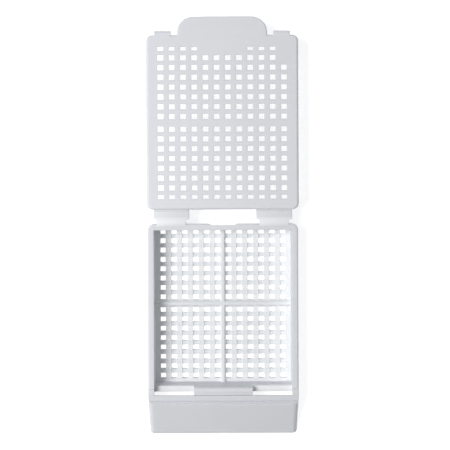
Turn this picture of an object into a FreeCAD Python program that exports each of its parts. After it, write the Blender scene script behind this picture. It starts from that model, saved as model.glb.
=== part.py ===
import FreeCAD, Part
import math
import os
import Sketcher

# Tissue cassette, moulded in one shot with its lid lying open.
# +X runs across the cassette, +Y from the writing panel to the hinge, +Z up.
# The origin is the centre of the base's underside. Distances called "from the
# rear" are measured from the base's rear face towards the writing panel.

os.makedirs("parts", exist_ok=True)
doc = FreeCAD.newDocument("TissueCassette")

# ---------------------------------------------------------------- sizes, mm
SIZES = {
    # tray
    "base_width": 28.5,
    "base_length": 40.75,
    "side_wall": 1.2,
    "rear_wall": 1.26,
    "rim_height": 5.3,
    "rim_round": 0.35,
    "rear_corner": 1.25,
    "tray_length": 31.93,
    "front_wall_top": 0.89,
    "front_wall_foot": 1.41,
    "front_wall_round": 0.55,
    # floor of crossed bars
    "floor_thickness": 1.0,
    "bar_layer": 0.82,
    "hole_width": 1.05,
    "hole_length": 0.98,
    "column_pitch": 2.107,
    "floor_row_pitch": 1.815,
    "floor_first_row": 1.46,
    "floor_middle_bar": 1.49,
    # low ribs that cross in the tray
    "rib_height": 0.65,
    "rib_top": 0.55,
    "long_rib_foot": 1.05,
    "cross_rib_foot": 1.25,
    # front: sill windows, slot, ledge and writing panel
    "sill_height": 3.8,
    "bridge_width": 11.2,
    "bridge_groove": 0.5,
    "bridge_bottom": 3.0,
    "bridge_seat": 1.0,
    "slot_width": 0.56,
    "catch_edge": 0.4,
    "cheek_wall": 0.75,
    "ledge_step": 31.32,
    "ledge_height": 5.2,
    "step_line": 0.1,
    "ledge_thickness": 1.0,
    "panel_top": 34.0,
    "panel_thickness": 1.1,
    "panel_round": 1.0,
    "lip_height": 0.5,
    "lip_corner": 0.8,
    "lip_bevel": 0.5,
    "groove_width": 0.7,
    "groove_depth": 0.5,
    # recess in the rear wall
    "notch_width": 5.5,
    "notch_floor": 4.3,
    "notch_depth": 0.3,
    # hinge
    "hinge_offset": 9.71,
    "bracket_width": 5.6,
    "bracket_length": 0.3,
    "bracket_depth": 1.1,
    "neck_length": 0.45,
    "neck_thickness": 0.2,
    "strap_width": 6.8,
    "strap_length": 1.9,
    "strap_thickness": 0.4,
    "crease_width": 0.25,
    "crease_depth": 0.15,
    # lid
    "lid_width": 28.7,
    "lid_length": 32.88,
    "lid_thickness": 1.2,
    "lid_corner": 1.15,
    "lid_side_round": 0.5,
    "lid_outer_round": 0.4,
    "lid_hole_length": 0.97,
    "lid_hole_draft": 10.0,
    "lid_row_pitch": 1.838,
    "lid_first_row": 2.54,
    "lid_middle_bar": 1.415,
    "end_row_cut": 0.25,
    "tab_width": 17.0,
    "tab_length": 3.44,
    "tab_corner": 3.0,
    "tab_round": 0.3,
    "lug_width": 3.1,
    "lug_length": 0.69,
    "lug_spacing": 22.46,
    "nose_height": 0.3,
    "nose_length": 0.4,
}

sheet = doc.addObject("Spreadsheet::Sheet", "Sizes")
for line, (alias, number) in enumerate(SIZES.items(), start=1):
    sheet.set(f"A{line}", alias)
    sheet.set(f"B{line}", str(number))
    sheet.setAlias(f"B{line}", alias)
doc.recompute()


# ------------------------------------------------------------ small helpers
def size(alias):
    """The number in the sheet's cell of that alias."""
    return float(sheet.get(alias))


def new_body(label):
    body = doc.addObject("PartDesign::Body", label)
    body.Label = label
    return body


def sketch(body, name, role, lift=None):
    """A sketch on one of the body's origin planes, lifted off it by an expression."""
    made = body.newObject("Sketcher::SketchObject", name)
    plane = [o for o in body.Origin.OriginFeatures if o.Role == role][0]
    made.AttachmentSupport = [(plane, "")]
    made.MapMode = "FlatFace"
    if lift:
        made.setExpression("AttachmentOffset.Base.z", lift)
    return made


def outline(made, corners):
    """Closed straight-sided outline; each corner is a pair of expressions."""
    count = len(corners)
    spread = [
        FreeCAD.Vector(math.cos(2 * math.pi * i / count), math.sin(2 * math.pi * i / count), 0)
        for i in range(count)
    ]
    first = made.GeometryCount
    for i in range(count):
        made.addGeometry(Part.LineSegment(spread[i], spread[(i + 1) % count]), False)
    for i in range(count):
        here = first + i
        after = first + (i + 1) % count
        made.addConstraint(Sketcher.Constraint("Coincident", here, 2, after, 1))
    for i, (across, along) in enumerate(corners):
        here = first + i
        for kind, text in (("DistanceX", across), ("DistanceY", along)):
            spot = made.addConstraint(Sketcher.Constraint(kind, -1, 1, here, 1, 1.0))
            made.setExpression(f"Constraints[{spot}]", text)
    return made


def rectangle(made, left, right, low, high):
    return outline(made, [(left, low), (right, low), (right, high), (left, high)])


def grow(body, kind, name, profile, length, symmetric=False, backwards=False, refine=True):
    """A Pad or Pocket of the profile, its length bound to an expression."""
    made = body.newObject("PartDesign::" + kind, name)
    made.Profile = profile
    made.setExpression("Length", length)
    made.SideType = "Symmetric" if symmetric else "One side"
    made.Reversed = backwards
    made.Refine = refine
    doc.recompute()
    return made


def checked(body, feature, before, grows):
    """Stop if a feature left the volume as it was, or changed it the wrong way."""
    change = feature.Shape.Volume - before
    if (change > 1e-6) != grows or abs(change) < 1e-6:
        raise RuntimeError(f"{feature.Name} of {body.Label} changed the volume by {change}")


def add(body, name, profile, length, **how):
    before = body.Shape.Volume if body.Tip else 0.0
    made = grow(body, "Pad", name, profile, length, **how)
    checked(body, made, before, True)
    return made


def cut(body, name, profile, length, **how):
    before = body.Shape.Volume
    made = grow(body, "Pocket", name, profile, length, **how)
    checked(body, made, before, False)
    return made


def repeat(body, name, feature, columns=1, column_gap="1", rows=1, row_gap="1"):
    """Copies of a pocket on a grid, its gaps bound to expressions."""
    before = body.Shape.Volume
    made = body.newObject("PartDesign::LinearPattern", name)
    made.Originals = [feature]
    profile = feature.Profile[0]
    made.Direction = (profile, ["H_Axis"])
    made.Mode = "Extent"
    made.Occurrences = columns
    made.setExpression("Length", f"{max(columns - 1, 1)} * ({column_gap})")
    made.Direction2 = (profile, ["V_Axis"])
    made.Mode2 = "Extent"
    made.Occurrences2 = rows
    made.setExpression("Length2", f"{max(rows - 1, 1)} * ({row_gap})")
    made.Refine = False
    body.Tip = made
    doc.recompute()
    checked(body, made, before, False)
    return made


def edges(shape, test):
    """Names of the edges whose middle point and bound box pass the test."""
    found = []
    for number, edge in enumerate(shape.Edges, start=1):
        middle = edge.valueAt((edge.FirstParameter + edge.LastParameter) / 2)
        if test(middle, edge):
            found.append(f"Edge{number}")
    return found


def rounded(body, name, radius, test):
    base = body.Tip
    made = body.newObject("PartDesign::Fillet", name)
    names = edges(base.Shape, test)
    if not names:
        raise RuntimeError(f"{name} of {body.Label} found no edge")
    made.Base = (base, names)
    made.setExpression("Radius", radius)
    doc.recompute()
    if "Invalid" in made.State or not made.Shape.isValid():
        raise RuntimeError(f"{name} of {body.Label} can't be made")
    return made


def upright(edge):
    box = edge.BoundBox
    return box.ZLength > 1e-4 and box.XLength < 1e-4 and box.YLength < 1e-4


REAR = "Sizes.base_length / 2"


def back(text):
    """Sketch position of a distance from the rear face."""
    return f"{REAR} - ({text})"


HALF = "Sizes.base_width / 2"
INNER = "(Sizes.base_width / 2 - Sizes.side_wall)"


# --------------------------------------------------------------------- base
base = new_body("base")

# Side view of the whole moulding: flat rim, sloping writing panel, low front lip.
side = sketch(base, "side_view", "YZ_Plane")
outline(side, [
    (REAR, "0"),
    (REAR, "Sizes.rim_height"),
    (back("Sizes.panel_top"), "Sizes.rim_height"),
    (f"-{REAR}", "Sizes.lip_height"),
    (f"-{REAR}", "0"),
])
add(base, "outer_form", side, "Sizes.base_width", symmetric=True)

rear_y = size("base_length") / 2
half_x = size("base_width") / 2
top_z = size("rim_height")
panel_y = rear_y - size("panel_top")


def rear_corner(middle, edge):
    return upright(edge) and middle.y > rear_y - 0.01


def lip_corner(middle, edge):
    return upright(edge) and middle.y < -rear_y + 0.01


def panel_side(middle, edge):
    slanted = edge.BoundBox.ZLength > size("lip_height") and edge.BoundBox.YLength > 1
    return slanted and abs(middle.x) > half_x - 0.01 and middle.y < panel_y


def rim_edge(middle, edge):
    return edge.BoundBox.ZMin > top_z - 0.001 and middle.y > panel_y + 0.01


rounded(base, "rear_corner_rounds", "Sizes.rear_corner", rear_corner)
rounded(base, "lip_corner_rounds", "Sizes.lip_corner", lip_corner)
rounded(base, "panel_side_rounds", "Sizes.panel_round", panel_side)
rounded(base, "rim_rounds", "Sizes.rim_round", rim_edge)

# Step down to the ledge in front of the closed lid.
step = sketch(base, "ledge_step_view", "YZ_Plane")
rectangle(step, back("Sizes.panel_top + 1"), back("Sizes.ledge_step"),
          "Sizes.ledge_height", "Sizes.rim_height + 1")
cut(base, "ledge_level", step, "Sizes.base_width + 2", symmetric=True)

# V groove between the ledge and the writing panel.
groove = sketch(base, "panel_groove_view", "YZ_Plane")
GROOVE_FRONT = "Sizes.panel_top + 0.15"
outline(groove, [
    (back(GROOVE_FRONT + " - Sizes.groove_width"), "Sizes.ledge_height + 0.02"),
    (back(GROOVE_FRONT + " - Sizes.groove_width / 2"), "Sizes.ledge_height - Sizes.groove_depth"),
    (back(GROOVE_FRONT), "Sizes.ledge_height + 0.02"),
])
cut(base, "panel_groove", groove, "Sizes.base_width + 2", symmetric=True)

# Bevel along the foot of the writing panel.
bevel = sketch(base, "lip_bevel_view", "YZ_Plane")
SLOPE = "(Sizes.rim_height - Sizes.lip_height) / (Sizes.base_length - Sizes.panel_top)"
BEVEL_TOP = f"Sizes.lip_height + Sizes.lip_bevel * {SLOPE}"
outline(bevel, [
    (f"-{REAR} - 1", "Sizes.lip_height / 2"),
    (f"-{REAR}", "Sizes.lip_height / 2"),
    (f"-{REAR} + Sizes.lip_bevel", BEVEL_TOP),
    (f"-{REAR} - 1", BEVEL_TOP),
])
cut(base, "lip_bevel", bevel, "Sizes.base_width + 2", symmetric=True)

# Tray cavity, its front wall drafted.
WALL_FRONT = "Sizes.tray_length"
cavity = sketch(base, "cavity_view", "YZ_Plane")
outline(cavity, [
    (back("Sizes.rear_wall"), "Sizes.rim_height + 1"),
    (back("Sizes.rear_wall"), "Sizes.floor_thickness"),
    (back(WALL_FRONT + " - Sizes.front_wall_foot"), "Sizes.floor_thickness"),
    (back(WALL_FRONT + " - Sizes.front_wall_top"), "Sizes.rim_height"),
    (back(WALL_FRONT + " - Sizes.front_wall_top"), "Sizes.rim_height + 1"),
])
cut(base, "cavity", cavity, f"2 * {INNER}", symmetric=True)

# Hollow under the writing panel, open below.
LEDGE_UNDERSIDE = "(Sizes.ledge_height - Sizes.ledge_thickness)"
PANEL_DROP = f"Sizes.panel_thickness * sqrt(1 + ({SLOPE}) ^ 2)"


def panel_inside(level):
    """Sketch position where the panel's inner face is at that height."""
    return back(f"Sizes.panel_top + (Sizes.rim_height - {PANEL_DROP} - ({level})) / ({SLOPE})")


# Under the ledge's rear edge it rises in a bevel, so the lugs catch a thin edge.
SLOT_FRONT = WALL_FRONT + " + Sizes.slot_width"
CATCH = "(Sizes.ledge_height - Sizes.catch_edge)"
hollow = sketch(base, "hollow_view", "YZ_Plane")
outline(hollow, [
    (back(WALL_FRONT), "-1"),
    (back(WALL_FRONT), CATCH),
    (back(SLOT_FRONT), CATCH),
    (back(f"{SLOT_FRONT} + {CATCH} - {LEDGE_UNDERSIDE}"), LEDGE_UNDERSIDE),
    (panel_inside(LEDGE_UNDERSIDE), LEDGE_UNDERSIDE),
    (panel_inside("-1"), "-1"),
])
cut(base, "panel_hollow", hollow, "Sizes.base_width - 2 * Sizes.cheek_wall", symmetric=True)

# Bridge that ties the middle of the front wall to the ledge.
bridge = sketch(base, "bridge_view", "YZ_Plane")
rectangle(bridge, back(f"{SLOT_FRONT} + Sizes.bridge_seat"), back(WALL_FRONT),
          "Sizes.bridge_bottom", CATCH)
add(base, "bridge", bridge, "Sizes.bridge_width", symmetric=True)

# A latch slot on each side of it, and a shallow groove in line with them.
latch = sketch(base, "latch_slot_plan", "XY_Plane", lift="Sizes.rim_height")
rectangle(latch, "Sizes.bridge_width / 2", INNER, back(SLOT_FRONT), back(WALL_FRONT))
rectangle(latch, f"-{INNER}", "-Sizes.bridge_width / 2", back(SLOT_FRONT), back(WALL_FRONT))
cut(base, "latch_slots", latch, f"Sizes.rim_height - {CATCH} + 0.1")
middle_groove = sketch(base, "middle_groove_plan", "XY_Plane", lift="Sizes.rim_height")
rectangle(middle_groove, "-Sizes.bridge_width / 2", "Sizes.bridge_width / 2",
          back(SLOT_FRONT), back(WALL_FRONT))
cut(base, "middle_groove", middle_groove,
    "Sizes.rim_height - Sizes.ledge_height + Sizes.bridge_groove")

# The front wall stands as high as the ledge in the middle.
crest = sketch(base, "crest_view", "YZ_Plane")
rectangle(crest, back(WALL_FRONT), back(WALL_FRONT + " - Sizes.front_wall_foot"),
          "Sizes.ledge_height", "Sizes.rim_height + 1")
cut(base, "crest_level", crest, f"2 * {INNER}", symmetric=True)

# Windows: the front wall is lower on both sides of the bridge.
windows = sketch(base, "window_plan", "XY_Plane", lift="Sizes.rim_height")
WINDOW_BACK = back(WALL_FRONT + " - Sizes.front_wall_foot")
rectangle(windows, "Sizes.bridge_width / 2", INNER, back(WALL_FRONT), WINDOW_BACK)
rectangle(windows, f"-{INNER}", "-Sizes.bridge_width / 2", back(WALL_FRONT), WINDOW_BACK)
cut(base, "windows", windows, "Sizes.rim_height - Sizes.sill_height")


def wall_crest(middle, edge):
    rear_side = middle.y > rear_y - size("tray_length") + size("front_wall_top") / 2
    across = edge.BoundBox.YLength < 1e-4 and edge.BoundBox.XLength > size("bridge_width") - 0.01
    level = abs(middle.z - size("ledge_height")) < 0.001
    return across and rear_side and level and abs(middle.x) < 0.01 and middle.y < 0


rounded(base, "wall_crest_round", "Sizes.front_wall_round", wall_crest)

# A fine line across both rims, where the lid's front edge comes.
def rim_line(name, lift, backwards):
    made = sketch(base, name + "_view", "YZ_Plane", lift=lift)
    outline(made, [
        (back("Sizes.ledge_step + Sizes.step_line"), "Sizes.rim_height + 0.02"),
        (back("Sizes.ledge_step"), "Sizes.ledge_height - Sizes.step_line"),
        (back("Sizes.ledge_step - Sizes.step_line"), "Sizes.rim_height + 0.02"),
    ])
    cut(base, name, made, "Sizes.side_wall + 1", backwards=backwards)


rim_line("left_rim_line", f"-{INNER}", False)
rim_line("right_rim_line", INNER, True)

# Places of the floor's rows, from the rear.
HALF_GRID = "(11 * Sizes.column_pitch / 2 + Sizes.hole_width / 2)"
ROW_8 = "(Sizes.floor_first_row + 7 * Sizes.floor_row_pitch)"
ROW_9 = f"({ROW_8} + Sizes.hole_length + Sizes.floor_middle_bar)"
ROW_16 = f"({ROW_9} + 7 * Sizes.floor_row_pitch)"

# Two low ribs that cross in the tray.
CROSS = f"({ROW_8} + Sizes.hole_length / 2 + Sizes.floor_middle_bar / 2)"
RIB_CREST = "Sizes.floor_thickness + Sizes.rib_height"
cross_rib = sketch(base, "cross_rib_view", "YZ_Plane")
outline(cross_rib, [
    (back(f"{CROSS} + Sizes.cross_rib_foot / 2"), "Sizes.floor_thickness"),
    (back(f"{CROSS} - Sizes.cross_rib_foot / 2"), "Sizes.floor_thickness"),
    (back(f"{CROSS} - Sizes.rib_top / 2"), RIB_CREST),
    (back(f"{CROSS} + Sizes.rib_top / 2"), RIB_CREST),
])
add(base, "cross_rib", cross_rib, f"2 * {INNER}", symmetric=True)
long_rib = sketch(base, "long_rib_view", "XZ_Plane", lift=f"Sizes.rear_wall - {REAR}")
outline(long_rib, [
    ("-Sizes.long_rib_foot / 2", "Sizes.floor_thickness"),
    ("Sizes.long_rib_foot / 2", "Sizes.floor_thickness"),
    ("Sizes.rib_top / 2", RIB_CREST),
    ("-Sizes.rib_top / 2", RIB_CREST),
])
add(base, "long_rib", long_rib, "Sizes.tray_length - Sizes.rear_wall - Sizes.front_wall_top")

# Shallow recess up the middle of the rear wall.
notch = sketch(base, "notch_plan", "XY_Plane")
outline(notch, [
    ("-Sizes.notch_width / 2", f"{REAR} + 0.001"),
    ("-Sizes.notch_floor / 2", back("Sizes.notch_depth")),
    ("Sizes.notch_floor / 2", back("Sizes.notch_depth")),
    ("Sizes.notch_width / 2", f"{REAR} + 0.001"),
])
cut(base, "rear_notch", notch, "Sizes.rim_height + 1", backwards=True)


# Two brackets on the rear rim carry the hinge films.
def bracket(name, side):
    made = sketch(base, name + "_view", "YZ_Plane", lift=f"{side} Sizes.hinge_offset")
    outline(made, [
        (f"{REAR} - Sizes.rim_round", "Sizes.rim_height"),
        (f"{REAR} - Sizes.rim_round", "Sizes.rim_height - Sizes.bracket_depth"),
        (REAR, "Sizes.rim_height - Sizes.bracket_depth"),
        (f"{REAR} + Sizes.bracket_length", "Sizes.rim_height - Sizes.strap_thickness"),
        (f"{REAR} + Sizes.bracket_length", "Sizes.rim_height"),
    ])
    add(base, name, made, "Sizes.bracket_width", symmetric=True)


bracket("left_bracket", "-")
bracket("right_bracket", "")

# Floor: crosswise slots from below meet lengthwise slots from above in square holes.


def row_slot(name, centre):
    made = sketch(base, name, "XY_Plane")
    rectangle(made, f"-{HALF_GRID}", HALF_GRID,
              back(f"{centre} + Sizes.hole_length / 2"), back(f"{centre} - Sizes.hole_length / 2"))
    return made


first_row = sketch(base, "first_row_plan", "XY_Plane")
rectangle(first_row, f"-{HALF_GRID}", HALF_GRID,
          back("Sizes.floor_first_row + Sizes.hole_length / 2"), back("Sizes.rear_wall"))
row_cut = {"backwards": True, "refine": False}
cut(base, "first_row", first_row, "Sizes.bar_layer", **row_cut)
rear_rows = cut(base, "row_8", row_slot("row_8_plan", ROW_8), "Sizes.bar_layer", **row_cut)
repeat(base, "rear_rows", rear_rows, rows=7, row_gap="Sizes.floor_row_pitch")
front_rows = cut(base, "row_16", row_slot("row_16_plan", ROW_16), "Sizes.bar_layer", **row_cut)
repeat(base, "front_rows", front_rows, rows=8, row_gap="Sizes.floor_row_pitch")


def column_slot(name, front_end, rear_end):
    made = sketch(base, name, "XY_Plane", lift="Sizes.floor_thickness")
    first = "-11 * Sizes.column_pitch / 2"
    rectangle(made, first + " - Sizes.hole_width / 2", first + " + Sizes.hole_width / 2",
              back(front_end), back(rear_end))
    return made


UPPER = "Sizes.floor_thickness - Sizes.bar_layer"
rear_column = column_slot("rear_column_plan", f"{ROW_8} + Sizes.hole_length / 2", "Sizes.rear_wall")
rear_slot = cut(base, "rear_column", rear_column, UPPER, refine=False)
repeat(base, "rear_columns", rear_slot, columns=12, column_gap="Sizes.column_pitch")
front_column = column_slot("front_column_plan", f"{ROW_16} + Sizes.hole_length / 2",
                           f"{ROW_9} - Sizes.hole_length / 2")
front_slot = cut(base, "front_column", front_column, UPPER, refine=False)
repeat(base, "front_columns", front_slot, columns=12, column_gap="Sizes.column_pitch")

# --------------------------------------------------------------------- lid
# It lies open behind the base, its outer face level with the straps' underside.
lid = new_body("lid")
HINGE_END = f"({REAR} + Sizes.bracket_length + Sizes.neck_length + Sizes.strap_length)"
LID_FRONT = f"({HINGE_END} + Sizes.lid_length)"
LID_UNDER = "(Sizes.rim_height - Sizes.strap_thickness)"
LID_TOP = f"({LID_UNDER} + Sizes.lid_thickness)"
lid_under = size("rim_height") - size("strap_thickness")
lid_top = lid_under + size("lid_thickness")
hinge_end = rear_y + size("bracket_length") + size("neck_length") + size("strap_length")
lid_front = hinge_end + size("lid_length")

plate = sketch(lid, "plate_plan", "XY_Plane", lift=LID_UNDER)
rectangle(plate, "-Sizes.lid_width / 2", "Sizes.lid_width / 2", HINGE_END, LID_FRONT)
add(lid, "plate", plate, "Sizes.lid_thickness")
rounded(lid, "plate_corners", "Sizes.lid_corner", lambda middle, edge: upright(edge))
rounded(lid, "plate_inner_edge", "Sizes.lid_side_round",
        lambda middle, edge: edge.BoundBox.ZMin > lid_top - 0.001)
rounded(lid, "plate_outer_edge", "Sizes.lid_outer_round",
        lambda middle, edge: edge.BoundBox.ZMax < lid_under + 0.001)

# Thumb tab and two latch lugs, level with the lid's inner face.
tab = sketch(lid, "tab_plan", "XY_Plane", lift=LID_UNDER)
rectangle(tab, "-Sizes.tab_width / 2", "Sizes.tab_width / 2",
          f"{LID_FRONT} - 0.8 * Sizes.lid_side_round", f"{LID_FRONT} + Sizes.tab_length")
add(lid, "tab", tab, "Sizes.lid_thickness")


def tab_corner(middle, edge):
    return upright(edge) and middle.y > lid_front + size("tab_length") - 0.01


rounded(lid, "tab_corners", "Sizes.tab_corner", tab_corner)
lugs = sketch(lid, "lug_plan", "XY_Plane", lift=LID_UNDER)
for sign in ("-", ""):
    centre = f"{sign} Sizes.lug_spacing / 2"
    rectangle(lugs, f"{centre} - Sizes.lug_width / 2", f"{centre} + Sizes.lug_width / 2",
              f"{LID_FRONT} - Sizes.lid_side_round", f"{LID_FRONT} + Sizes.lug_length")
add(lid, "lugs", lugs, "Sizes.lid_thickness")


def tab_edge(middle, edge):
    return edge.BoundBox.ZMin > lid_top - 0.001 and middle.y > lid_front + size("lug_length") + 0.01


rounded(lid, "tab_inner_edge", "Sizes.tab_round", tab_edge)
LUG_TIP = f"({LID_FRONT} + Sizes.lug_length)"


def nose(name, side):
    made = sketch(lid, name + "_view", "YZ_Plane", lift=f"{side} Sizes.lug_spacing / 2")
    outline(made, [
        (f"{LUG_TIP} - Sizes.nose_length", LID_TOP),
        (LUG_TIP, LID_TOP),
        (f"{LUG_TIP} - Sizes.nose_length / 4", f"{LID_TOP} + Sizes.nose_height"),
        (f"{LUG_TIP} - Sizes.nose_length / 2", f"{LID_TOP} + Sizes.nose_height"),
    ])
    add(lid, name, made, "Sizes.lug_width", symmetric=True)


nose("left_nose", "-")
nose("right_nose", "")

# Square holes in two groups of eight rows; the outermost rows are shorter, four
# columns in front of the tab and one corner stay closed.
LID_HALF_HOLE = "Sizes.lid_hole_length / 2"


def lid_row(row):
    """Distance of a row's full-length centre from the lid's front edge."""
    place = f"Sizes.lid_first_row + {row - 1} * Sizes.lid_row_pitch"
    if row > 8:
        place += " - Sizes.lid_row_pitch + Sizes.lid_hole_length + Sizes.lid_middle_bar"
    return f"({place})"


def lid_hole(name, row, column, near="0", far="0"):
    """One hole that widens towards the outer face; near and far shorten its two ends."""
    made = sketch(lid, name + "_plan", "XY_Plane", lift=LID_TOP)
    centre = f"({column} - 6.5) * Sizes.column_pitch"
    rectangle(made, f"{centre} - Sizes.hole_width / 2", f"{centre} + Sizes.hole_width / 2",
              f"{LID_FRONT} - {lid_row(row)} - {LID_HALF_HOLE} + {far}",
              f"{LID_FRONT} - {lid_row(row)} + {LID_HALF_HOLE} - {near}")
    hole = cut(lid, name, made, "Sizes.lid_thickness + 0.1", refine=False)
    hole.setExpression("TaperAngle", "Sizes.lid_hole_draft * 1 deg")
    doc.recompute()
    return hole


HOLES = [
    ("row_1_left", lid_hole("hole_1_1", 1, 1, near="Sizes.end_row_cut"), 4, 1),
    ("row_1_right", lid_hole("hole_1_9", 1, 9, near="Sizes.end_row_cut"), 3, 1),
    ("row_2", lid_hole("hole_2_1", 2, 1), 11, 1),
    ("row_16", lid_hole("hole_16_1", 16, 1, far="Sizes.end_row_cut"), 12, 1),
    ("rows_3_to_8", lid_hole("hole_8_1", 8, 1), 12, 6),
    ("rows_9_to_15", lid_hole("hole_15_1", 15, 1), 12, 7),
]
for name, hole, columns, rows in HOLES:
    repeat(lid, name, hole, columns, "Sizes.column_pitch", rows, "Sizes.lid_row_pitch")


# ------------------------------------------------------------- hinge films
def hinge_film(label, side):
    """A thin neck that folds, then a wider strap with a crease where it meets the lid."""
    film = new_body(label)
    centre = f"{side} Sizes.hinge_offset"
    neck = sketch(film, label + "_neck_plan", "XY_Plane",
                  lift="Sizes.rim_height - Sizes.neck_thickness")
    rectangle(neck, f"{centre} - Sizes.bracket_width / 2", f"{centre} + Sizes.bracket_width / 2",
              f"{REAR} + Sizes.bracket_length", f"{HINGE_END} - Sizes.strap_length")
    add(film, label + "_neck", neck, "Sizes.neck_thickness")
    strap = sketch(film, label + "_strap_plan", "XY_Plane", lift=LID_UNDER)
    rectangle(strap, f"{centre} - Sizes.strap_width / 2", f"{centre} + Sizes.strap_width / 2",
              f"{HINGE_END} - Sizes.strap_length", HINGE_END)
    add(film, label + "_strap", strap, "Sizes.strap_thickness")
    crease = sketch(film, label + "_crease_plan", "XY_Plane", lift="Sizes.rim_height")
    rectangle(crease, f"{centre} - Sizes.strap_width / 2 - 1", f"{centre} + Sizes.strap_width / 2 + 1",
              f"{HINGE_END} - Sizes.crease_width", f"{HINGE_END} + 1")
    cut(film, label + "_crease", crease, "Sizes.crease_depth")
    return film


left_film = hinge_film("left_hinge_film", "-")
right_film = hinge_film("right_hinge_film", "")

# ------------------------------------------------------------------ export
doc.recompute()
for thing in doc.Objects:
    if "Invalid" in thing.State or "Error" in thing.State:
        raise RuntimeError(f"{thing.Name} failed: {thing.State}")
for body in (base, lid, left_film, right_film):
    shape = body.Shape
    if shape.isNull() or not shape.isValid() or len(shape.Solids) != 1:
        raise RuntimeError(f"{body.Label} is not one valid solid")
    print(f"{body.Label}: {shape.Volume:.3f} mm3, {len(shape.Faces)} faces")
for body in (base, lid, left_film, right_film):
    body.Shape.exportStep(f"parts/{body.Label}.step")
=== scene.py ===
# %% [markdown]
# Tissue cassette, lying open. The real thing is a single moulding in white acetal: a shallow tray
# with a floor of crossed bars, a sloped front to write on, and a perforated lid that hangs on two
# hinge films. The tray and the lid are exact solids already, so they come in as the fixed frame, and
# this lesson adds the camera, the light, the two films as lofted strips, and the finish of the
# plastic. Lengths are in metres.

# %% Load the frame and note its box
import math

import bmesh
import bpy
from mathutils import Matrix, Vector


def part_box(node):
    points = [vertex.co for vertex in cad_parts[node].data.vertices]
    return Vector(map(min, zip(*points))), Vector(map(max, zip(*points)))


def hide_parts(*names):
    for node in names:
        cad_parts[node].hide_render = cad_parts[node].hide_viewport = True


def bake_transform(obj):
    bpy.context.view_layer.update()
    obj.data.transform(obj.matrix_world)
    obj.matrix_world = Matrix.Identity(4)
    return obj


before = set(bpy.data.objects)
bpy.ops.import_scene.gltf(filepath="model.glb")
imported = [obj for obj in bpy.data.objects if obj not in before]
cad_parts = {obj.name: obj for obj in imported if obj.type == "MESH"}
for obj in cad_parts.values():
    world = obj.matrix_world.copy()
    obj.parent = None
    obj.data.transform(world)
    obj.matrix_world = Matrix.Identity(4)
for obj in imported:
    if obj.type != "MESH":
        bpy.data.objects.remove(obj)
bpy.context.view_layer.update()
base_low, base_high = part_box("base")
lid_low, lid_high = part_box("lid")
print("nodes:", sorted(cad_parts))
for label, low, high in (("tray", base_low, base_high), ("lid", lid_low, lid_high)):
    print(label, "in mm:", [round((b - a) * 1000, 2) for a, b in zip(low, high)])

# %% [markdown]
# The cassette is looked at from straight above, from close by, so that the walls on the
# far sides of the tray lean into view. A perspective camera does that: its place over the
# hinge and its height decide which walls are seen, and the lens only crops the picture.
# The camera is turned by a fifth of a degree, as one held by hand over a bench would be.

# %% Camera straight above the hinge
CAMERA_HEIGHT = 0.1756
CAMERA_ASIDE = 0.00044
CAMERA_BEFORE_HINGE = 0.00058
CAMERA_TURN = math.radians(-0.22)
CAMERA_LENS = 72.2

camera_data = bpy.data.cameras.new("top_camera")
camera_data.sensor_width = 36
camera_data.lens = CAMERA_LENS
camera_data.clip_start = 0.01
camera = bpy.data.objects.new("top_camera", camera_data)
camera.location = (CAMERA_ASIDE, base_high[1] - CAMERA_BEFORE_HINGE, CAMERA_HEIGHT)
camera.rotation_euler = (0, 0, CAMERA_TURN)
bpy.context.scene.collection.objects.link(camera)
bpy.context.scene.camera = camera
bpy.context.scene.view_settings.view_transform = "Standard"
print("camera at", tuple(round(v, 4) for v in camera.location))

# %% [markdown]
# White plastic needs soft light, or every edge clips. One square lamp stands to the left
# and above, so the left wall throws a short soft shadow into the tray. It is near enough
# for the light to fall off a little from the left rim to the right one, as it does beside
# a small desk lamp.


# %% Desk lamp on the left
def soft_lamp(name, place, target, size, power):
    """A square area lamp at a place, turned to look at a target."""
    data = bpy.data.lights.new(name, "AREA")
    data.shape = "SQUARE"
    data.size = size
    data.energy = power
    lamp = bpy.data.objects.new(name, data)
    lamp.location = place
    aim = Vector(target) - Vector(place)
    lamp.rotation_euler = aim.to_track_quat("-Z", "Y").to_euler()
    bpy.context.scene.collection.objects.link(lamp)
    return lamp


key_lamp = soft_lamp("key_lamp", place=(-0.15, 0.012, 0.25), target=(0, 0.02, 0.003),
                     size=0.133, power=0.61)
print("lamp", key_lamp.name, round(key_lamp.data.energy, 3), "W")

# %% [markdown]
# The sky is an even white that fills the shadows, and a low strength keeps it from
# washing them out. What the camera sees of the sky, straight on or in a reflection, is
# plain white instead: a Light Path node tells such rays from those that carry light. Two
# small helpers come first, because later materials ask the same question.


# %% Even sky, white where it is seen
def math_node(tree, operation, first, second=None):
    """The output of a Math node that takes numbers or other nodes' outputs."""
    node = tree.nodes.new("ShaderNodeMath")
    node.operation = operation
    for socket, value in zip(node.inputs, (first, second)):
        if isinstance(value, (int, float)):
            socket.default_value = value
        elif value is not None:
            tree.links.new(value, socket)
    return node.outputs[0]


def seen_or_mirrored(tree):
    """One for what the camera sees, straight on or in a reflection, and nought for light."""
    path = tree.nodes.new("ShaderNodeLightPath")
    seen = path.outputs["Is Camera Ray"]
    for kind in ("Is Glossy Ray", "Is Transmission Ray"):
        seen = math_node(tree, "MAXIMUM", seen, path.outputs[kind])
    return seen


SKY_STRENGTH = 0.296

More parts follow.
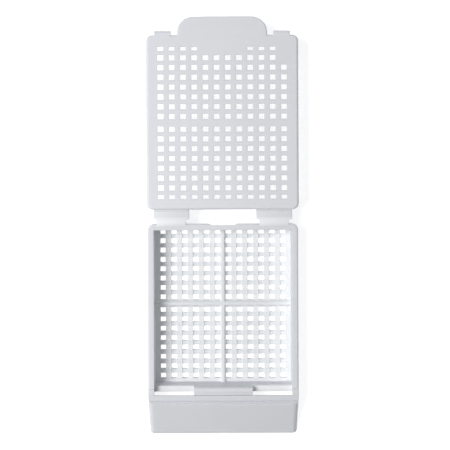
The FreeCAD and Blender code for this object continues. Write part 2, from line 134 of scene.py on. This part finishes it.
world = bpy.data.worlds.new("even_sky")
bpy.context.scene.world = world
world.use_nodes = True
sky = world.node_tree
sky.nodes.clear()
sky_out = sky.nodes.new("ShaderNodeOutputWorld")
seen_sky = sky.nodes.new("ShaderNodeBackground")
seen_sky.inputs["Color"].default_value = (1, 1, 1, 1)
seen_sky.inputs["Strength"].default_value = 1.0
lit_sky = sky.nodes.new("ShaderNodeBackground")
lit_sky.inputs["Color"].default_value = (0.97, 0.985, 1, 1)
lit_sky.inputs["Strength"].default_value = SKY_STRENGTH
sky_mix = sky.nodes.new("ShaderNodeMixShader")
sky.links.new(seen_or_mirrored(sky), sky_mix.inputs["Fac"])
sky.links.new(lit_sky.outputs[0], sky_mix.inputs[1])
sky.links.new(seen_sky.outputs[0], sky_mix.inputs[2])
sky.links.new(sky_mix.outputs[0], sky_out.inputs["Surface"])
print("sky", SKY_STRENGTH, "as light, 1.0 as seen")

# %% [markdown]
# The bench is a plain white sheet. It is an ordinary diffuse surface, so it throws light
# back up through the holes and takes the cassette's shadow. A little glow is added only
# for what is seen, which lifts the open sheet to clean white and leaves the shadow beside
# the cassette as a faint grey. The glow's colour is a grey that says how much of it each
# place gets, and it is settled further on.


# %% White sheet under the cassette
def square_sheet(name, half, height):
    """A flat square in one face, at a height."""
    mesh = bpy.data.meshes.new(name)
    corners = [(-half, -half, height), (half, -half, height),
               (half, half, height), (-half, half, height)]
    mesh.from_pydata(corners, [], [(0, 1, 2, 3)])
    sheet = bpy.data.objects.new(name, mesh)
    bpy.context.scene.collection.objects.link(sheet)
    return sheet


bench = square_sheet("bench", half=1.5, height=0.0)
paper = bpy.data.materials.new("white_sheet")
paper.use_nodes = True
paper_tree = paper.node_tree
sheet_shader = paper_tree.nodes["Principled BSDF"]
sheet_shader.inputs["Base Color"].default_value = (0.90, 0.905, 0.91, 1)
sheet_shader.inputs["Roughness"].default_value = 0.9
sheet_shader.inputs["Specular IOR Level"].default_value = 0.1
glow = paper_tree.nodes.new("ShaderNodeEmission")
paper_tree.links.new(seen_or_mirrored(paper_tree), glow.inputs["Strength"])
both = paper_tree.nodes.new("ShaderNodeAddShader")
paper_tree.links.new(sheet_shader.outputs[0], both.inputs[0])
paper_tree.links.new(glow.outputs[0], both.inputs[1])
paper_tree.links.new(both.outputs[0], paper_tree.nodes["Material Output"].inputs["Surface"])
bench.data.materials.append(paper)
print("bench is", round(bench.dimensions.x, 2), "m wide")

# %% [markdown]
# Each hinge film is a thin neck beside the tray's rim that widens and thickens into a
# strap up to the lid. It could stay a solid, but it has to curl when the lid closes, so
# it is lofted here: rounded rectangles strung along its length, close together, with
# enough of them for a smooth curl.

# %% Lofting a strip from rounded rectangles
ARC_STEPS = 4
SHARP_FROM = math.radians(40)


def rounded_section(half_width, low, high, radius):
    """Points round a rectangle in X and Z, its corners rounded."""
    points = []
    corners = [(half_width, high, 0), (-half_width, high, 90),
               (-half_width, low, 180), (half_width, low, 270)]
    for x, z, start in corners:
        centre_x = x - math.copysign(radius, x)
        centre_z = z - radius if z == high else z + radius
        for step in range(ARC_STEPS + 1):
            angle = math.radians(start + 90 * step / ARC_STEPS)
            points.append((centre_x + radius * math.cos(angle), centre_z + radius * math.sin(angle)))
    return points


def loft(name, stations):
    """A closed mesh through stations of (y, section), all of equal point count."""
    shape = bmesh.new()
    rings = []
    for y, section in stations:
        rings.append([shape.verts.new((x, y, z)) for x, z in section])
    count = len(rings[0])
    for near, far in zip(rings, rings[1:]):
        for i in range(count):
            j = (i + 1) % count
            shape.faces.new((near[i], near[j], far[j], far[i]))
    shape.faces.new(list(reversed(rings[0])))
    shape.faces.new(rings[-1])
    bmesh.ops.recalc_face_normals(shape, faces=shape.faces)
    mesh = bpy.data.meshes.new(name)
    shape.to_mesh(mesh)
    shape.free()
    for face in mesh.polygons:
        face.use_smooth = True
    mesh.set_sharp_from_angle(angle=SHARP_FROM)
    piece = bpy.data.objects.new(name, mesh)
    bpy.context.scene.collection.objects.link(piece)
    even = piece.modifiers.new("even_shading", "WEIGHTED_NORMAL")
    even.weight = 100
    even.keep_sharp = True
    return piece


print("a section has", 4 * (ARC_STEPS + 1), "points")

# %% [markdown]
# The strip's sizes come from the frame: it fills the gap between the tray's bracket and
# the lid, and runs on into both, as plastic does that was moulded with them. On the tray
# side its skin rises out of the bracket's top by a few thousandths of a millimetre, so no
# seam shows. The neck thickens into the strap from below, over a tenth of a millimetre,
# and a crease across the top lets it fold where it meets the lid.

# %% Sections of a hinge film
STRAP_THICKNESS = 0.0004
NECK_THICKNESS = 0.0002
NECK_LENGTH = 0.00045
NECK_INSET = 0.0006
CREASE_WIDTH = 0.00025
CREASE_DEPTH = 0.00015
SOFT_STEP = 0.00005
BURIED = 0.00008
ON_RIM = 0.001
SKIN = 0.000006
SKIN_RISE = 0.0003
CORNER_SHARE = 0.3
STATIONS = 72


def eased(value, low, high):
    """Rises from 0 at low to 1 at high, gently at both ends."""
    share = min(1.0, max(0.0, (value - low) / (high - low)))
    return share * share * (3 - 2 * share)


def film_stations(film_low, film_high):
    """The film's sections from the tray's rim to the lid."""
    strap_half = (film_high[0] - film_low[0]) / 2
    neck_half = strap_half - NECK_INSET
    neck_end = film_low[1] + NECK_LENGTH
    crease_start = film_high[1] - CREASE_WIDTH
    stations = []
    first, last = film_low[1] - ON_RIM, film_high[1] + BURIED
    for i in range(STATIONS + 1):
        y = first + (last - first) * i / STATIONS
        wide = eased(y, neck_end - SOFT_STEP, neck_end + SOFT_STEP)
        creased = eased(y, crease_start - SOFT_STEP, crease_start + SOFT_STEP)
        risen = eased(y, first, first + SKIN_RISE)
        high = film_high[2] + SKIN * (2 * risen - 1) - creased * CREASE_DEPTH
        low = film_high[2] - NECK_THICKNESS - wide * (STRAP_THICKNESS - NECK_THICKNESS)
        half = neck_half + wide * (strap_half - neck_half)
        stations.append((y, rounded_section(half, low, high, (high - low) * CORNER_SHARE)))
    return stations


print(STATIONS + 1, "sections in a film")

# %% [markdown]
# A thin film lets more light through than a thick strap, so each point of the strip also keeps how
# thin it is there, for the material to read. The solid film from the frame is hidden, and the strip
# takes its place.

# %% Two hinge films
THICK_FROM = 0.0011


def mark_thin(piece, on_rim, neck_start, neck_end, thick_from):
    """Keeps how thin each point is: 1 in the neck, 0 on the rim and in the strap."""
    thin = piece.data.attributes.new("thin", "FLOAT", "POINT")
    for point, vertex in zip(thin.data, piece.data.vertices):
        y = vertex.co.y
        point.value = eased(y, on_rim, neck_start) * (1 - eased(y, neck_end, thick_from))


films = []
for side in ("left", "right"):
    film_low, film_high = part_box(side + "_hinge_film")
    start_y = film_low[1]
    film = loft(side + "_film", film_stations(film_low, film_high))
    film.location.x = (film_low[0] + film_high[0]) / 2
    mark_thin(film, start_y - ON_RIM, start_y, start_y + NECK_LENGTH, start_y + THICK_FROM)
    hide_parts(side + "_hinge_film")
    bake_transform(film)
    films.append(film)
    print(film.name, len(film.data.polygons), "faces")

# %% [markdown]
# Acetal is a dense white plastic that lets a little light in. Three of its effects are
# shared by all parts: a faint cloudiness, an uneven satin, and soft edges with a fine
# grain. Each could be copied into every material, but a node group is built once and
# placed wherever it is wanted, with its own values. These helpers build such a group.


# %% Helpers for a node group
def new_group(name, inputs, outputs):
    """An empty shader node group with named sockets, and its two end nodes."""
    group = bpy.data.node_groups.new(name, "ShaderNodeTree")
    for label, kind, value in inputs:
        socket = group.interface.new_socket(label, in_out="INPUT", socket_type=kind)
        socket.default_value = value
    for label, kind in outputs:
        group.interface.new_socket(label, in_out="OUTPUT", socket_type=kind)
    return group, group.nodes.new("NodeGroupInput"), group.nodes.new("NodeGroupOutput")


def noise_of(group, source, scale_label, detail):
    """Noise over the object's own coordinates, in turns per metre."""
    place = group.nodes.new("ShaderNodeTexCoord")
    noise = group.nodes.new("ShaderNodeTexNoise")
    noise.inputs["Detail"].default_value = detail
    group.links.new(place.outputs["Object"], noise.inputs["Vector"])
    group.links.new(source.outputs[scale_label], noise.inputs["Scale"])
    return noise


def spread_of(group, noise, low, high):
    """Stretches the middle of a noise, from low to high, over the full range."""
    spread = group.nodes.new("ShaderNodeMapRange")
    spread.inputs["From Min"].default_value = low
    spread.inputs["From Max"].default_value = high
    group.links.new(noise.outputs["Fac"], spread.inputs["Value"])
    return spread


print("node groups so far:", len(bpy.data.node_groups))

# %% [markdown]
# The cloudiness is what flow leaves in the colour of a moulding. A painted texture would
# need a layout of every face; soft noise over the part's own coordinates doesn't, and
# here it blends two nearly equal tones.

# %% Shared effect: cloudy white
CLOUD_SCALE = 140.0

cloudy, source, sink = new_group(
    "cloudy_white",
    [("Colour", "NodeSocketColor", (0.88, 0.89, 0.9, 1)),
     ("Deep Colour", "NodeSocketColor", (0.8, 0.8, 0.8, 1)),
     ("Scale", "NodeSocketFloat", CLOUD_SCALE), ("Amount", "NodeSocketFloat", 0.3)],
    [("Colour", "NodeSocketColor")])
cloud = noise_of(cloudy, source, "Scale", 3.0)
spread = spread_of(cloudy, cloud, 0.35, 0.65)
cloudy.links.new(source.outputs["Amount"], spread.inputs["To Max"])
blended = cloudy.nodes.new("ShaderNodeMix")
blended.data_type = "RGBA"
cloudy.links.new(spread.outputs["Result"], blended.inputs["Factor"])
cloudy.links.new(source.outputs["Colour"], blended.inputs["A"])
cloudy.links.new(source.outputs["Deep Colour"], blended.inputs["B"])
cloudy.links.new(blended.outputs["Result"], sink.inputs["Colour"])
print("group", cloudy.name)

# %% [markdown]
# The satin of a moulding is not quite even. One roughness for all of it would look like
# paint, so the roughness wanders between a low and a high value, in patches about a
# millimetre wide.

# %% Shared effect: uneven satin
PATCH_SCALE = 900.0

satin, source, sink = new_group(
    "uneven_satin",
    [("Low", "NodeSocketFloat", 0.4), ("High", "NodeSocketFloat", 0.5),
     ("Scale", "NodeSocketFloat", PATCH_SCALE)],
    [("Roughness", "NodeSocketFloat")])
patches = noise_of(satin, source, "Scale", 4.0)
spread = spread_of(satin, patches, 0.3, 0.7)
satin.links.new(source.outputs["Low"], spread.inputs["To Min"])
satin.links.new(source.outputs["High"], spread.inputs["To Max"])
satin.links.new(spread.outputs["Result"], sink.inputs["Roughness"])
print("group", satin.name)

# %% [markdown]
# Moulded edges are rounded by about a tenth of a millimetre, which the solids leave out.
# Rounding the edges of nearly 400 holes would cost very many faces, so a Bevel node bends
# the normal near edges instead, and a Bump node on top of it adds a very fine grain.

# %% Shared effect: soft edges with a fine grain
GRAIN_SCALE = 6000.0
GRAIN_HEIGHT = 0.00002
EDGE_ROUNDING = 0.00012

grain, source, sink = new_group(
    "soft_edges_and_grain",
    [("Grain Scale", "NodeSocketFloat", GRAIN_SCALE), ("Grain Depth", "NodeSocketFloat", 0.1)],
    [("Normal", "NodeSocketVector")])
edge = grain.nodes.new("ShaderNodeBevel")
edge.samples = 6
edge.inputs["Radius"].default_value = EDGE_ROUNDING
pits = noise_of(grain, source, "Grain Scale", 2.0)
bump = grain.nodes.new("ShaderNodeBump")
bump.inputs["Distance"].default_value = GRAIN_HEIGHT
grain.links.new(source.outputs["Grain Depth"], bump.inputs["Strength"])
grain.links.new(pits.outputs["Fac"], bump.inputs["Height"])
grain.links.new(edge.outputs["Normal"], bump.inputs["Normal"])
grain.links.new(bump.outputs["Normal"], sink.inputs["Normal"])
print("group", grain.name)

# %% [markdown]
# One function puts a finish together from the three effects, since the whole cassette is
# of one plastic. Subsurface scattering, with a reach of a little over half a millimetre,
# lets light bleed round thin bars and edges, where plain diffuse colour looks like chalk.

# %% A finish of the plastic
CLOUD_AMOUNT = 0.5
SATIN_SPREAD = 0.05
SCATTER_REACH = 0.0006


def acetal(name, colour, deep, roughness, depth, scatter):
    """One finish of the plastic, from the three shared effects."""
    material = bpy.data.materials.new(name)
    material.use_nodes = True
    nodes = material.node_tree.nodes
    links = material.node_tree.links
    shader = nodes["Principled BSDF"]

    def placed(group, values):
        node = nodes.new("ShaderNodeGroup")
        node.node_tree = group
        for label, value in values.items():
            node.inputs[label].default_value = value
        return node

    tone = placed(cloudy, {"Colour": colour, "Deep Colour": deep,
                           "Scale": CLOUD_SCALE, "Amount": CLOUD_AMOUNT})
    sheen = placed(satin, {"Low": roughness - SATIN_SPREAD, "High": roughness + SATIN_SPREAD,
                           "Scale": PATCH_SCALE})
    surface = placed(grain, {"Grain Scale": GRAIN_SCALE, "Grain Depth": depth})
    links.new(tone.outputs["Colour"], shader.inputs["Base Color"])
    links.new(sheen.outputs["Roughness"], shader.inputs["Roughness"])
    links.new(surface.outputs["Normal"], shader.inputs["Normal"])
    shader.inputs["IOR"].default_value = 1.48
    shader.inputs["Specular IOR Level"].default_value = 0.4
    shader.inputs["Subsurface Weight"].default_value = scatter
    shader.inputs["Subsurface Radius"].default_value = (1.0, 0.97, 0.92)
    shader.inputs["Subsurface Scale"].default_value = SCATTER_REACH
    return material


print("scatter reaches", SCATTER_REACH * 1000, "mm")

# %% [markdown]
# The finishes differ only a little, as they would in one moulding: the tray has the plain
# one, the lid is a touch paler and smoother, and the films are the smoothest, because
# they are drawn when first bent. The films take no scattering, since they are thinner
# than its reach.

# %% The three finishes
tray_finish = acetal("tray_acetal", (0.75, 0.76, 0.79, 1), (0.732, 0.742, 0.771, 1),
                     roughness=0.48, depth=0.35, scatter=0.5)
lid_finish = acetal("lid_acetal", (0.769, 0.778, 0.809, 1), (0.75, 0.759, 0.79, 1),
                    roughness=0.42, depth=0.25, scatter=0.4)
film_finish = acetal("film_acetal", (0.755, 0.764, 0.784, 1), (0.746, 0.755, 0.775, 1),
                     roughness=0.40, depth=0.15, scatter=0.0)

for name, finish in (("base", tray_finish), ("lid", lid_finish)):
    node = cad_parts[name]
    node.data.materials.clear()
    node.data.materials.append(finish)
for film in films:
    film.data.materials.append(film_finish)
print("materials:", [m.name for m in bpy.data.materials])

# %% [markdown]
# Where the moulding is thin, the bench glows through it and it looks paler; where bars
# cross or a rib stands on them it is deeper in tone. Real light would need very many rays
# to show that through a closed solid, so it is painted by place instead. A box mask is 1
# inside a box and fades to 0 towards its sides, and both the tray and the sheet use it,
# so it is a node group too.


# %% Shared effect: a soft box mask
def vector_node(tree, operation, first, second=None):
    """The output of a Vector Math node that takes other nodes' outputs."""
    node = tree.nodes.new("ShaderNodeVectorMath")
    node.operation = operation
    tree.links.new(first, node.inputs[0])
    if second is not None:
        tree.links.new(second, node.inputs[1])
    return node.outputs[0]


box_mask, source, sink = new_group(
    "soft_box_mask",
    [("Middle", "NodeSocketVector", (0, 0, 0)),
     ("Half Size", "NodeSocketVector", (0.01, 0.01, 0.01)),
     ("Fade", "NodeSocketFloat", 0.0002)],
    [("Mask", "NodeSocketFloat")])
place = box_mask.nodes.new("ShaderNodeTexCoord")
offset = vector_node(box_mask, "SUBTRACT", place.outputs["Object"], source.outputs["Middle"])
distance = vector_node(box_mask, "ABSOLUTE", offset)
room = vector_node(box_mask, "SUBTRACT", source.outputs["Half Size"], distance)
axes = box_mask.nodes.new("ShaderNodeSeparateXYZ")
box_mask.links.new(room, axes.inputs[0])
least = math_node(box_mask, "MINIMUM", axes.outputs["X"], axes.outputs["Y"])
nearest = math_node(box_mask, "MINIMUM", least, axes.outputs["Z"])
share = math_node(box_mask, "DIVIDE", nearest, source.outputs["Fade"])
share.node.use_clamp = True
box_mask.links.new(share, sink.inputs["Mask"])
print("group", box_mask.name)

# %% [markdown]
# Two more helpers: one places a box mask in a material by the box's corners, the other
# turns a mask into a value, such as how bright a grey is.


# %% Placing a box mask
def masked_box(material, low, high, fade):
    """A box mask in a material, from the box's two corners."""
    node = material.node_tree.nodes.new("ShaderNodeGroup")
    node.node_tree = box_mask
    node.inputs["Middle"].default_value = [(a + b) / 2 for a, b in zip(low, high)]
    node.inputs["Half Size"].default_value = [(b - a) / 2 for a, b in zip(low, high)]
    node.inputs["Fade"].default_value = fade
    return node.outputs["Mask"]


def between(tree, mask, outside, inside):
    """A value that goes from outside to inside as the mask goes from 0 to 1."""
    node = tree.nodes.new("ShaderNodeMapRange")
    node.inputs["To Min"].default_value = outside
    node.inputs["To Max"].default_value = inside
    tree.links.new(mask, node.inputs["Value"])
    return node


print("a mask takes", [item.name for item in box_mask.interface.items_tree][1:])

# %% [markdown]
# The open sheet near the cassette glows the least, so that the shadow stays. The sheet inside the
# tray's outline shows only through holes. It lies in the tray's shadow there, and painted light makes
# it a little lighter. Far from the lamp the sheet gets less light, so a little more is added there.
# The bracket that carries the films stands out behind the rear face, and later cells measure from
# that face, so it is found here first.

# %% Glow of the sheet by place
OPEN_GLOW = 0.67
UNDER_GLOW = 0.85
FAR_GLOW = 0.75
NEAR_HALF = 0.17
NEAR_FADE = 0.07
UNDER_FADE = 0.0008
OUTSIDE = 0.03
BRACKET_LENGTH = 0.0003
REAR_FACE = base_high[1] - BRACKET_LENGTH

under_low = (base_low[0], base_low[1], -OUTSIDE)
under_high = (base_high[0], REAR_FACE, OUTSIDE)
footprint = masked_box(paper, under_low, under_high, UNDER_FADE)
# Painted light: inside the tray's outline the shadowed sheet gets the stronger glow.
under_glow = between(paper_tree, footprint, OPEN_GLOW, UNDER_GLOW)
near = masked_box(paper, (-NEAR_HALF,) * 3, (NEAR_HALF,) * 3, NEAR_FADE)
open_glow = between(paper_tree, near, FAR_GLOW, OPEN_GLOW)
paper_tree.links.new(open_glow.outputs["Result"], under_glow.inputs["To Min"])
paper_tree.links.new(under_glow.outputs["Result"], glow.inputs["Color"])
print("glow near", OPEN_GLOW, "under", UNDER_GLOW, "far", FAR_GLOW)

# %% [markdown]
# The painted tones of the tray, from palest to deepest. They stand in for light that comes through
# thin plastic and is held back by thick plastic, and some of them also stand in for shade and for
# light that falls on one side. Each one is laid over the colour before it with a mix node between the
# finish and its shader, so a later tone covers an earlier one where their masks meet.

# %% Painted tones, palest to deepest
PALE = (0.963, 0.979, 0.998, 1)
LIT_SILL = (0.92, 0.935, 0.955, 1)
LIT_FLANK = (0.91, 0.925, 0.945, 1)
RIBBED = (0.872, 0.888, 0.91, 1)
CROSSED = (0.818, 0.835, 0.856, 1)
CREST = (0.795, 0.81, 0.833, 1)
LEDGE = (0.708, 0.717, 0.748, 1)


def lay_over(material, mask, colour):
    """Puts one more mix between the material's colour and its shader."""
    nodes = material.node_tree.nodes
    links = material.node_tree.links
    target = nodes["Principled BSDF"].inputs["Base Color"]
    before = target.links[0].from_socket
    mix = nodes.new("ShaderNodeMix")
    mix.data_type = "RGBA"
    mix.inputs["B"].default_value = colour
    links.new(mask, mix.inputs["Factor"])
    links.new(before, mix.inputs["A"])
    links.new(mix.outputs["Result"], target)


print("tones from", PALE[:3], "to", LEDGE[:3])

# %% [markdown]
# Places on the tray are given as three ranges: across from left to right, back from the rear face
# towards the front, and up from the bench. The floor with its ribs is painted paler than the rims,
# for the light that comes through its thin bars. The ledge over the latch is thick and is painted
# deeper in tone. The two low sills in the latch windows are thin and are painted paler. The right
# sill is painted paler than the left, for the light that falls on it. The left sill's pale tone fades
# in only away from the wall beside it, as painted shade.

# %% Floor, ledge and sills
SIDE_WALL = 0.0012
INNER_HALF = base_high[0] - SIDE_WALL
WALL_SKIN = 0.0002
ACROSS = (-INNER_HALF - WALL_SKIN, INNER_HALF + WALL_SKIN)
FLOOR_BACK = (0.0012, 0.0306)
FLOOR_UP = (-0.001, 0.0025)
LEDGE_BACK = (0.0321, 0.0336)
LEDGE_UP = (0.0048, 0.0060)
SILL_BACK = (0.0302, 0.0320)
SILL_UP = (0.0030, 0.0039)
SILL_FROM = 0.0055
SILL_SHADE = 0.0032
FADE = 0.0002
SILL_FADE = 0.00008


def tray_mask(across, back, up, fade=FADE):
    """A soft box mask on the tray, from its three ranges."""
    low = (across[0], REAR_FACE - back[1], up[0])
    high = (across[1], REAR_FACE - back[0], up[1])
    return masked_box(tray_finish, low, high, fade)


tray_tree = tray_finish.node_tree
# Painted light: the floor is paler, for light through its thin bars.
lay_over(tray_finish, tray_mask(ACROSS, FLOOR_BACK, FLOOR_UP), RIBBED)
# The ledge is painted a deeper tone.
lay_over(tray_finish, tray_mask((-base_high[0], base_high[0]), LEDGE_BACK, LEDGE_UP), LEDGE)
# Painted shade and light: the left sill's tone fades in away from the left wall, and the right sill
# is painted paler.
out_of_shade = masked_box(tray_finish, (ACROSS[0], -OUTSIDE, -OUTSIDE), (OUTSIDE,) * 3, SILL_SHADE)
for across, tone in (((ACROSS[0], -SILL_FROM), RIBBED), ((SILL_FROM, ACROSS[1]), LIT_SILL)):
    sill = tray_mask(across, SILL_BACK, SILL_UP, SILL_FADE)
    lay_over(tray_finish, math_node(tray_tree, "MULTIPLY", sill, out_of_shade), tone)
print("pale floor in mm:", [round(v * 1000, 2) for v in (*ACROSS, *FLOOR_BACK)])

# %% [markdown]
# The bars between two rows of holes are painted the palest, for the light that comes through them
# from below. In line with a crosswise bar two layers lie on each other, and there the painted tone is
# deeper again. The rows are found by folding Y: eight rows, a wider middle bar, and eight more, so
# the wider part is closed up first, and a fraction of the row pitch then tells bar from hole.

# %% Rows of holes as a mask
ROWS = 16
FIRST_ROW_BACK = 0.00146
ROW_PITCH = 0.001815
HOLE_HALF = 0.00049
MIDDLE_BAR = 0.00149
MIDDLE_BAR_EXTRA = MIDDLE_BAR - (ROW_PITCH - 2 * HOLE_HALF)
MIDDLE_BAR_BACK = FIRST_ROW_BACK + (ROWS / 2 - 1) * ROW_PITCH + HOLE_HALF + MIDDLE_BAR / 2
ROWS_END = FIRST_ROW_BACK + (ROWS - 1) * ROW_PITCH + MIDDLE_BAR_EXTRA + HOLE_HALF
GRID_HALF = 0.0122
BARS_BELOW = 0.00105

place = tray_tree.nodes.new("ShaderNodeTexCoord")
axes = tray_tree.nodes.new("ShaderNodeSeparateXYZ")
tray_tree.links.new(place.outputs["Object"], axes.inputs[0])
at_x, at_y, at_z = (axes.outputs[axis] for axis in "XYZ")

in_front = math_node(tray_tree, "LESS_THAN", at_y, REAR_FACE - MIDDLE_BAR_BACK)
extra = math_node(tray_tree, "MULTIPLY", in_front, MIDDLE_BAR_EXTRA)
closed_up = math_node(tray_tree, "ADD", at_y, extra)
from_first = math_node(tray_tree, "SUBTRACT", REAR_FACE - FIRST_ROW_BACK + ROW_PITCH / 2, closed_up)
rows = math_node(tray_tree, "FRACT", math_node(tray_tree, "DIVIDE", from_first, ROW_PITCH))
off_row = math_node(tray_tree, "ABSOLUTE", math_node(tray_tree, "SUBTRACT", rows, 0.5))
on_bar = math_node(tray_tree, "GREATER_THAN", off_row, HOLE_HALF / ROW_PITCH)
low_down = math_node(tray_tree, "LESS_THAN", at_z, BARS_BELOW)
grid = tray_mask((-GRID_HALF, GRID_HALF), FLOOR_BACK, FLOOR_UP)
on_grid = math_node(tray_tree, "MULTIPLY", grid, low_down)
# Painted light: the thin floor bars take the palest tone.
lay_over(tray_finish, on_grid, PALE)
print(ROWS, "rows, the last one ends", round(ROWS_END * 1000, 2), "mm back")

# %% [markdown]
# The deeper tone gives way to the paler one in two places, as painted light. Beside each lengthwise
# bar, where the bar's shadow falls on the crosswise one, the shadow is painted paler, for light that
# comes through from below. Towards the right the deeper tone fades out, as painted light that the
# wall throws back on the floor. It stays whole in the left wall's shadow and on the plain strip in
# front of the last row.

# %% Deeper tone where bars cross
COLUMNS = 12
COLUMN_PITCH = 0.002107
SHADE_AT = 0.00045
SHADE_HALF = 0.0002
WALL_SHADE = 0.0105
BOUNCE_FROM = 0.0075
BOUNCE_TO = 0.0135

columns = math_node(tray_tree, "FRACT", math_node(tray_tree, "DIVIDE", at_x, COLUMN_PITCH))
from_shade = math_node(tray_tree, "SUBTRACT", columns, SHADE_AT / COLUMN_PITCH)
off_shade = math_node(tray_tree, "ABSOLUTE", from_shade)
# Painted light: the strip where each lengthwise bar's shadow falls is left paler.
in_light = math_node(tray_tree, "GREATER_THAN", off_shade, SHADE_HALF / COLUMN_PITCH)
by_wall = math_node(tray_tree, "LESS_THAN", at_x, -WALL_SHADE)
past_rows = math_node(tray_tree, "LESS_THAN", at_y, REAR_FACE - ROWS_END)
whole = math_node(tray_tree, "MAXIMUM", in_light, math_node(tray_tree, "MAXIMUM", by_wall, past_rows))
deep = math_node(tray_tree, "MULTIPLY", math_node(tray_tree, "MULTIPLY", on_bar, on_grid), whole)
# Painted light: the deeper tone fades out towards the right wall, for the light that the wall throws
# back.
before_painted_bounce = masked_box(tray_finish, (-OUTSIDE,) * 3, (BOUNCE_TO, OUTSIDE, OUTSIDE),
                    BOUNCE_TO - BOUNCE_FROM)
lay_over(tray_finish, math_node(tray_tree, "MULTIPLY", deep, before_painted_bounce), CROSSED)
print(COLUMNS, "columns over", round(COLUMNS * COLUMN_PITCH * 1000, 2), "mm")

# %% [markdown]
# Two low ribs cross on the floor, one of them along the middle bar. Their flanks are thin and are
# painted pale, which also lifts the shade and shadow that fall on them. The thick crest in the middle
# is painted deeper in tone, and towards the right that tone gives way to the painted light that the
# wall throws back. So each rib gets two masks that start at different heights.

# %% Ribs: pale flanks, deeper crest
RIB_HALF = 0.0007
FLANK_FROM = 0.00102
CREST_FROM = 0.0015
FLANK_FADE = 0.00003
CREST_FADE = 0.0001
CROSS_RIB_BACK = (MIDDLE_BAR_BACK - RIB_HALF, MIDDLE_BAR_BACK + RIB_HALF)

ribs = ((LIT_FLANK, ACROSS, CROSS_RIB_BACK), (PALE, (-RIB_HALF, RIB_HALF), FLOOR_BACK))
# Painted light: the rib flanks are painted paler over their shade.
for tone, across, back in ribs:
    flank = tray_mask(across, back, (FLANK_FROM, FLOOR_UP[1]), FLANK_FADE)
    lay_over(tray_finish, flank, tone)
# The crest is painted deeper, and that tone fades out towards the right for the painted light that
# the wall throws back.
for tone, across, back in ribs:
    crest = tray_mask(across, back, (CREST_FROM, FLOOR_UP[1]), CREST_FADE)
    lay_over(tray_finish, math_node(tray_tree, "MULTIPLY", crest, before_painted_bounce), CREST)
print(len(ribs), "ribs toned")

# %% [markdown]
# A film's neck is thin and lets light through, so it is painted paler. A mask by place would slide
# over the film as it curls, but the value that each point kept when the strip was made goes along
# with it.

# %% Paler necks of the films
thin_strip = film_finish.node_tree.nodes.new("ShaderNodeAttribute")
thin_strip.attribute_name = "thin"
# Painted light: the thin neck takes a paler tone.
lay_over(film_finish, thin_strip.outputs["Fac"], RIBBED)
print("films read", thin_strip.attribute_name)
